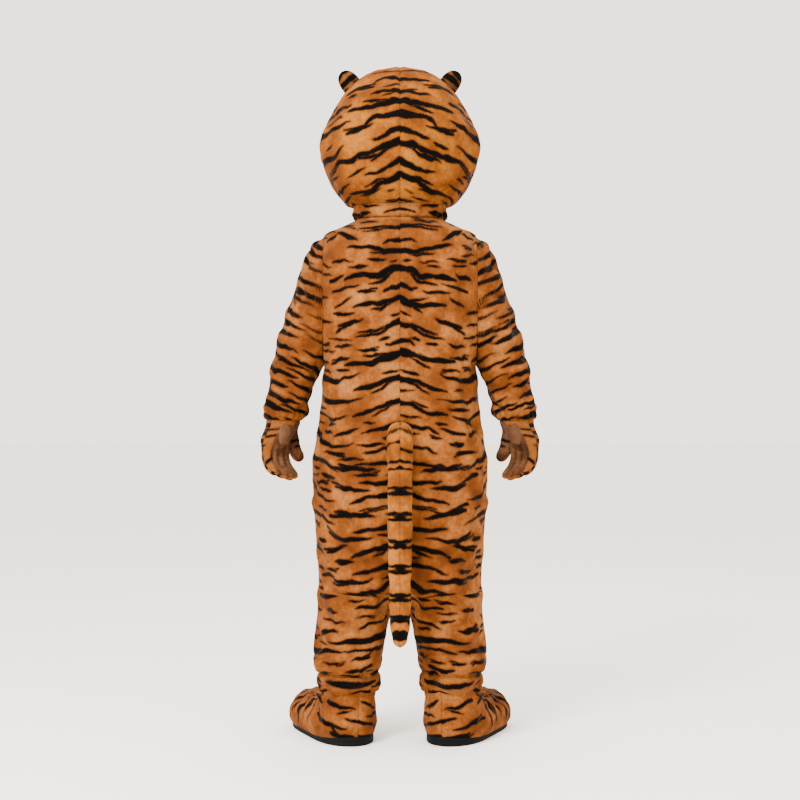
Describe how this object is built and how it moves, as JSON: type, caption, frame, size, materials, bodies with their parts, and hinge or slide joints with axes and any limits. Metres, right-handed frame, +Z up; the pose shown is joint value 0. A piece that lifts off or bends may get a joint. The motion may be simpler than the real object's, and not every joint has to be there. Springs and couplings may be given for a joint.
{
  "type": "tiger mascot costume",
  "caption": "Full tiger costume standing as worn, empty: one-piece striped plush suit, round head with ears, gloves, soled boots and a long stuffed tail.",
  "frame": {"origin": "between the wearer's shoulders, which carry the suit", "axes": "+Z up, the costume faces -Y, its left side is +X"},
  "size_m": [0.7788, 0.5467, 1.89],
  "materials": {
    "plush": "striped short plush",
    "palm": "brown suede-like",
    "cream": "light plush",
    "nose": "satin",
    "eye": "gloss",
    "sole": "matt"
  },
  "bodies": {
    "root": {"body_back_left": "plush", "body_front_left": "plush", "sleeve_left": "plush", "head_back_left": "plush", "ear_back_left": "plush", "ear_inner_left": "cream", "eye_left": "eye", "tail_left": "plush", "glove_back_left": "plush", "glove_palm_left": "palm", "glove_pad_left": "palm", "boot_outer_left": "plush", "boot_inner_left": "plush", "sole_left": "sole", "body_back_right": "plush", "body_front_right": "plush", "sleeve_right": "plush", "head_back_right": "plush", "ear_back_right": "plush", "ear_inner_right": "cream", "eye_right": "eye", "tail_right": "plush", "glove_back_right": "plush", "glove_palm_right": "palm", "glove_pad_right": "palm", "boot_outer_right": "plush", "boot_inner_right": "plush", "sole_right": "sole", "head_face": "plush", "head_neck": "plush", "muzzle": "cream", "nose": "nose"}
  },
  "joints": []
}
